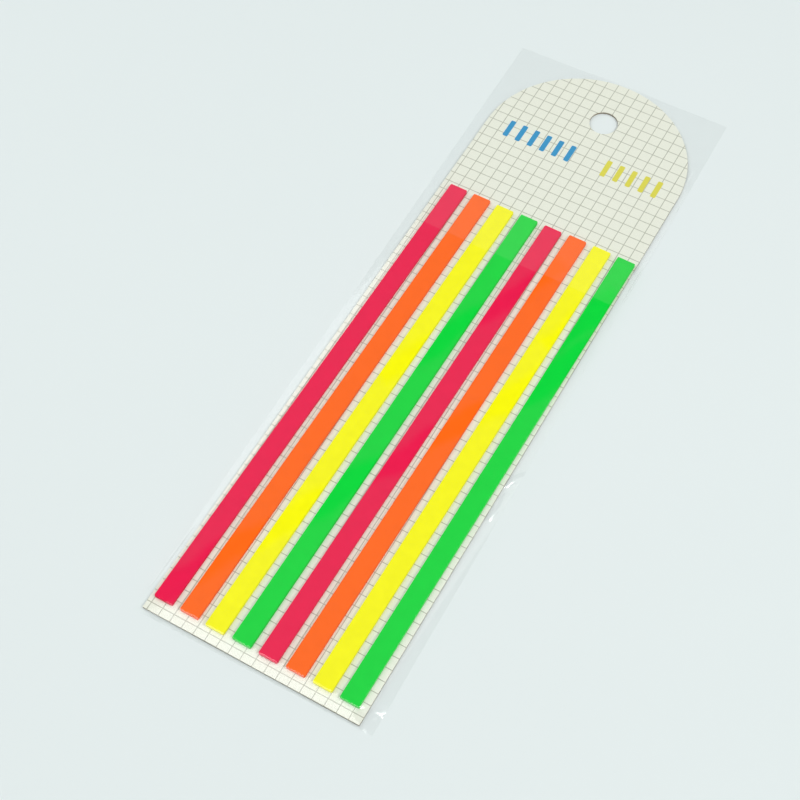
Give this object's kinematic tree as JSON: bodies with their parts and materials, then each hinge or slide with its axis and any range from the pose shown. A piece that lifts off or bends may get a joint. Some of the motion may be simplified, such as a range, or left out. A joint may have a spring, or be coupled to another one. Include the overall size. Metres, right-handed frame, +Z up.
{
  "type": "sticky index tabs",
  "caption": "Flat pack of long, narrow neon film index tabs in side-by-side pads on a round-ended hang card with a ruled grid, in a clear film sleeve.",
  "frame": {"origin": "middle of the sleeve's underside, on the surface that the pack lies on", "axes": "+Z up through the pack's thickness, +Y along its length towards the card's rounded end with the hang hole, +X across the pads towards the green end of the row"},
  "size_m": [0.0638, 0.2014, 0.0016],
  "materials": {
    "card": "smooth cream card with a fine ruled grid",
    "clear_film": "clear glossy film",
    "pink_film": "satin neon pink-red film",
    "orange_film": "satin neon orange film",
    "yellow_film": "satin neon yellow film",
    "green_film": "satin neon green film"
  },
  "bodies": {
    "root": {"hang_card": "card", "clear_sleeve": "clear_film", "pad_pink_left": "pink_film", "pad_orange_left": "orange_film", "pad_yellow_left": "yellow_film", "pad_green_left": "green_film", "pad_pink_right": "pink_film", "pad_orange_right": "orange_film", "pad_yellow_right": "yellow_film", "pad_green_right": "green_film"}
  },
  "joints": []
}
